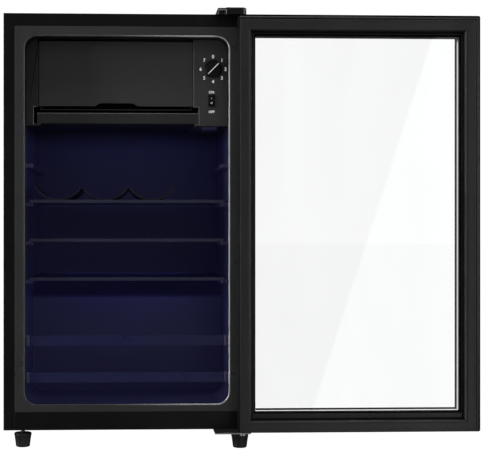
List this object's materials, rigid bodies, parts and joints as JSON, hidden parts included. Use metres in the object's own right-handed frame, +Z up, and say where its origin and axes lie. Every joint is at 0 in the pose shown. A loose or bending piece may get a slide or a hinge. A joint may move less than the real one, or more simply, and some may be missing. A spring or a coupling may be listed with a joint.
{
  "type": "mini fridge",
  "caption": "Compact upright drinks fridge with a framed double-glass door, sliding glass shelves, a wavy bottle rack, a freezer box with a flap and drip tray, and a dial control.",
  "frame": {"origin": "middle of the footprint's bounding box, taken over the cabinet and the door as stored, open 180 degrees, at floor level under the feet", "axes": "+X to the right as seen from the front, +Y from the front to the back, +Z up; the mouth and the door's inner face look along -Y"},
  "size_m": [0.906, 0.4636, 0.8375],
  "materials": {
    "black_steel": "satin",
    "galvanised_steel": "satin",
    "frame_plastic": "satin",
    "gray_plastic": "satin",
    "dark_plastic": "matte",
    "liner_plastic": "satin",
    "foam": "matte",
    "aluminium": "satin",
    "zinc": "satin",
    "glass": "gloss",
    "shelf_glass": "gloss",
    "rubber": "matte",
    "gasket": "matte",
    "copper": "satin",
    "lamp_lens": "satin",
    "rocker_plastic": "gloss"
  },
  "bodies": {
    "cabinet": {"bottom_front_rail": "black_steel", "bottom_plate": "galvanised_steel", "cabinet_foam": "foam", "cabinet_shell": "black_steel", "compressor": "black_steel", "compressor_foot_plate": "black_steel", "compressor_grommet_1": "rubber", "compressor_grommet_2": "rubber", "compressor_grommet_3": "rubber", "compressor_grommet_4": "rubber", "compressor_plate": "galvanised_steel", "compressor_space_panel": "galvanised_steel", "condenser_tube": "copper", "control_housing": "dark_plastic", "cord_gland": "rubber", "discharge_pipe": "copper", "drain_tube": "rubber", "evaporation_pan": "dark_plastic", "evaporator_box": "aluminium", "evaporator_hanger": "dark_plastic", "filter_drier": "copper", "foot_rear_left": "rubber", "foot_rear_right": "rubber", "freezer_side_bracket": "dark_plastic", "guard_rail_lower": "liner_plastic", "guard_rail_upper": "liner_plastic", "inner_liner": "liner_plastic", "lamp_lens": "lamp_lens", "lower_hinge_pin": "zinc", "lower_hinge_plate": "zinc", "mouth_frame": "gray_plastic", "rear_panel": "galvanised_steel", "relay_cover": "dark_plastic", "suction_pipe": "copper", "switch_body": "dark_plastic", "thermostat_body": "aluminium", "top_hinge_cover": "dark_plastic", "top_hinge_pin": "zinc", "top_hinge_plate": "zinc"},
    "door": {"door_frame": "frame_plastic", "door_inner_frame": "dark_plastic", "door_outer_pane": "glass", "door_inner_pane": "glass", "glazing_spacer": "aluminium", "door_gasket": "gasket", "door_bush_top": "gray_plastic", "door_bush_bottom": "gray_plastic"},
    "flap": {"freezer_flap": "gray_plastic"},
    "knob": {"thermostat_knob": "dark_plastic"},
    "rocker": {"switch_rocker": "rocker_plastic"},
    "tray": {"drip_tray": "gray_plastic"},
    "shelf_lower": {"shelf_plate_lower": "shelf_glass", "shelf_trim_lower": "dark_plastic"},
    "shelf_middle": {"shelf_plate_middle": "shelf_glass", "shelf_trim_middle": "dark_plastic"},
    "shelf_upper": {"shelf_plate_upper": "shelf_glass", "shelf_trim_upper": "dark_plastic", "bottle_rack": "dark_plastic"},
    "foot_left": {"foot_front_left": "rubber"},
    "foot_right": {"foot_front_right": "rubber"}
  },
  "joints": [
    {"name": "door_hinge", "type": "hinge", "parent": "cabinet", "child": "door", "pos_m": [0.0025, -0.2025, 0.4285], "axis": [0, 0, 1], "range_deg": [-180, 0]},
    {"name": "flap_hinge", "type": "hinge", "parent": "cabinet", "child": "flap", "pos_m": [-0.2387, -0.1142, 0.7815], "axis": [-1, 0, 0], "range_deg": [0, 85]},
    {"name": "knob_turn", "type": "hinge", "parent": "cabinet", "child": "knob", "pos_m": [-0.0485, -0.1222, 0.732], "axis": [0, 1, 0], "range_deg": [-45, 270]},
    {"name": "rocker_tilt", "type": "hinge", "parent": "cabinet", "child": "rocker", "pos_m": [-0.0515, -0.1222, 0.6698], "axis": [1, 0, 0], "range_deg": [0, 9]},
    {"name": "tray_slide", "type": "slide", "parent": "cabinet", "child": "tray", "axis": [0, -1, 0], "range_m": [0, 0.15]},
    {"name": "shelf_lower_slide", "type": "slide", "parent": "cabinet", "child": "shelf_lower", "axis": [0, -1, 0], "range_m": [0, 0.22]},
    {"name": "shelf_middle_slide", "type": "slide", "parent": "cabinet", "child": "shelf_middle", "axis": [0, -1, 0], "range_m": [0, 0.22]},
    {"name": "shelf_upper_slide", "type": "slide", "parent": "cabinet", "child": "shelf_upper", "axis": [0, -1, 0], "range_m": [0, 0.22]},
    {"name": "foot_left_turn", "type": "hinge", "parent": "cabinet", "child": "foot_left", "pos_m": [-0.4175, -0.1542, 0.015], "axis": [0, 0, 1], "range_deg": [0, 720]},
    {"name": "foot_right_turn", "type": "hinge", "parent": "cabinet", "child": "foot_right", "pos_m": [-0.001, -0.1782, 0.015], "axis": [0, 0, 1], "range_deg": [0, 720]}
  ]
}
